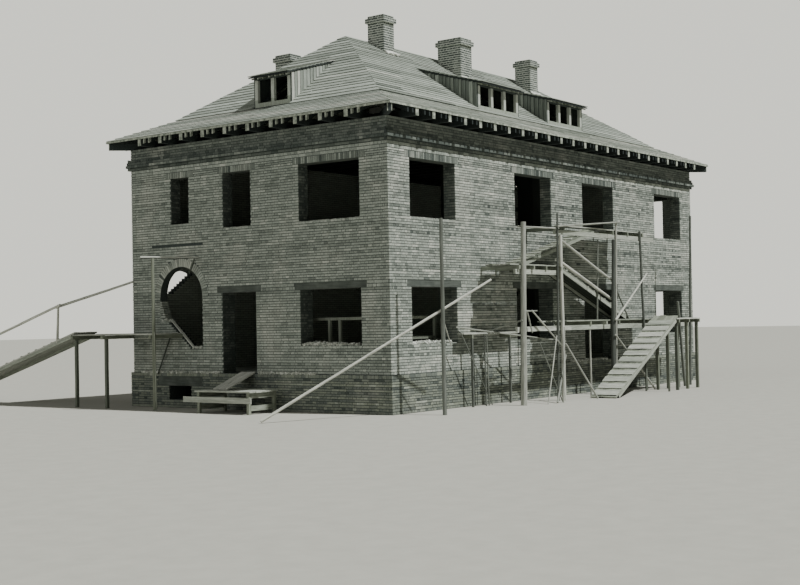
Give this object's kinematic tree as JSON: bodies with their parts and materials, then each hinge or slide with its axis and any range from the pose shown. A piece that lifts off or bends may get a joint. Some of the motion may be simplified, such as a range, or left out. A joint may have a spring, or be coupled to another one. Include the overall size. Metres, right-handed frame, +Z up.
{
  "type": "railway station building",
  "caption": "Two-storey brick railway station building under construction, with a boarded hipped roof, dormers, chimneys and a timber gangway.",
  "frame": {"origin": "on the ground under the middle of the building's plan", "axes": "+X along the front to the right, +Y towards the back, +Z up; the front with two dormers faces -Y"},
  "size_m": [23.1482, 21.8125, 12.34],
  "materials": {
    "brickwork": "rough fired brick",
    "plinth_brickwork": "rough fired brick",
    "lintels": "bricks on edge",
    "cellar_paving": "rough",
    "floor_boards": "rough boards",
    "sawn_timber": "rough sawn",
    "weathered_boards": "weathered"
  },
  "bodies": {
    "root": {"ground_wall_front": "brickwork", "ground_wall_back": "brickwork", "ground_wall_left": "brickwork", "ground_wall_right": "brickwork", "upper_wall_front": "brickwork", "upper_wall_back": "brickwork", "upper_wall_left": "brickwork", "upper_wall_right": "brickwork", "arch_rings": "brickwork", "string_course_long": "brickwork", "string_course_short": "brickwork", "chimney_near": "brickwork", "chimney_middle": "brickwork", "chimney_far": "brickwork", "chimney_back": "brickwork", "plinth_front": "plinth_brickwork", "plinth_back": "plinth_brickwork", "plinth_left": "plinth_brickwork", "plinth_right": "plinth_brickwork", "ground_lintels": "lintels", "upper_lintels": "lintels", "ground_floor": "floor_boards", "upper_floor": "floor_boards", "cellar_floor": "cellar_paving", "attic_joists": "sawn_timber", "lookouts": "sawn_timber", "rafters_long": "sawn_timber", "rafters_ends": "sawn_timber", "sprockets": "sawn_timber", "hip_rafters": "sawn_timber", "ridge_board": "sawn_timber", "dormer_front_left": "sawn_timber", "dormer_front_right": "sawn_timber", "dormer_side": "sawn_timber", "gangway_poles": "sawn_timber", "gangway_ledgers": "sawn_timber", "gangway_putlogs": "sawn_timber", "gangway_rails": "sawn_timber", "gangway_braces": "sawn_timber", "inner_trestle": "sawn_timber", "roof_front": "weathered_boards", "roof_back": "weathered_boards", "roof_left": "weathered_boards", "roof_right": "weathered_boards", "dormer_roof_front_left": "weathered_boards", "dormer_roof_front_right": "weathered_boards", "dormer_roof_side": "weathered_boards", "gangway_decks": "weathered_boards", "gangway_ramp": "weathered_boards", "gangway_walkways": "weathered_boards", "side_deck": "weathered_boards", "side_ramp": "weathered_boards", "door_landing": "weathered_boards"}
  },
  "joints": []
}
